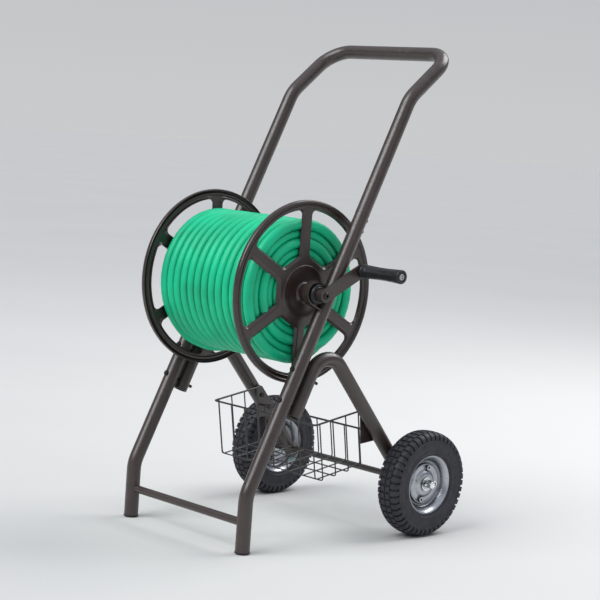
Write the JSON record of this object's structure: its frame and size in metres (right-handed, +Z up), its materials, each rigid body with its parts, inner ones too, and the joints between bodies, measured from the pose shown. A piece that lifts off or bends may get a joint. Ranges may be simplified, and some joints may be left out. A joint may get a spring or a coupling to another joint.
{
  "type": "garden hose reel cart",
  "caption": "Two-wheeled tube-frame cart with a cranked hose reel full of green hose, a push handle and a wire basket.",
  "frame": {"origin": "on the ground, in the middle of the cart's bounding box", "axes": "+Z up, +X towards the crank's side, +Y from the front feet to the wheels"},
  "size_m": [0.549, 0.5636, 0.9679],
  "materials": {
    "frame_paint": "satin dark brown powder coat",
    "reel_paint": "satin dark brown powder coat",
    "black_wire": "satin black powder coat",
    "black_fasteners": "black oxide",
    "zinc": "zinc plated",
    "pipe_steel": "plain steel pipe",
    "brass": "machined",
    "seal_rubber": "matt",
    "green_hose": "satin vinyl",
    "tyre": "matt black rubber",
    "black_plastic": "matt black plastic"
  },
  "bodies": {
    "frame": {"handle_tube": "frame_paint", "foot_crossbar": "frame_paint", "frame_bolts": "black_fasteners", "frame_inserts": "zinc", "wheel_axle": "frame_paint", "wheel_spacers": "frame_paint", "wheel_washers": "zinc", "wheel_pins": "zinc", "basket_front_grid": "black_wire", "basket_rear_grid": "black_wire", "basket_left_grid": "black_wire", "basket_right_grid": "black_wire", "basket_bottom_grid": "black_wire", "basket_screws": "black_fasteners", "left_side_tube": "frame_paint", "left_front_leg": "frame_paint", "left_foot_cap": "black_plastic", "left_rear_leg": "frame_paint", "left_bearing_bracket": "frame_paint", "left_axle_bush": "black_plastic", "left_basket_plate": "frame_paint", "right_side_tube": "frame_paint", "right_front_leg": "frame_paint", "right_foot_cap": "black_plastic", "right_rear_leg": "frame_paint", "right_bearing_bracket": "frame_paint", "right_axle_bush": "black_plastic", "right_basket_plate": "frame_paint"},
    "reel": {"left_flange": "reel_paint", "right_flange": "reel_paint", "drum": "reel_paint", "reel_axle": "pipe_steel", "axle_plug": "pipe_steel", "left_hub_collar": "reel_paint", "right_hub_collar": "reel_paint", "outlet_elbow": "brass", "hose_inner_coupling": "brass", "hose_lead": "green_hose", "hose_winding": "green_hose", "hose_tail": "green_hose", "hose_end_coupling": "brass", "crank_arm": "frame_paint", "crank_bolt": "black_fasteners", "grip_spindle": "zinc", "spindle_nut": "zinc"},
    "grip": {"grip": "black_plastic"},
    "left_wheel": {"left_tyre": "tyre", "left_outer_rim": "zinc", "left_inner_rim": "zinc", "left_rim_bolts": "zinc", "left_wheel_hub": "zinc"},
    "right_wheel": {"right_tyre": "tyre", "right_outer_rim": "zinc", "right_inner_rim": "zinc", "right_rim_bolts": "zinc", "right_wheel_hub": "zinc"},
    "inlet_swivel": {"inlet_swivel": "brass", "inlet_seal": "seal_rubber"}
  },
  "joints": [
    {"name": "reel_turn", "type": "hinge", "parent": "frame", "child": "reel", "pos_m": [0, -0.1068, 0.4823], "axis": [1, 0, 0], "continuous": true},
    {"name": "grip_spin", "type": "hinge", "parent": "reel", "child": "grip", "pos_m": [0.2215, -0.01556, 0.52879], "axis": [1, 0, 0], "continuous": true},
    {"name": "left_wheel_roll", "type": "hinge", "parent": "frame", "child": "left_wheel", "pos_m": [-0.2432, 0.1764, 0.1054], "axis": [1, 0, 0], "continuous": true},
    {"name": "right_wheel_roll", "type": "hinge", "parent": "frame", "child": "right_wheel", "pos_m": [0.1902, 0.1764, 0.1054], "axis": [1, 0, 0], "continuous": true},
    {"name": "inlet_turn", "type": "hinge", "parent": "reel", "child": "inlet_swivel", "pos_m": [-0.2165, -0.1068, 0.4823], "axis": [1, 0, 0], "continuous": true}
  ]
}
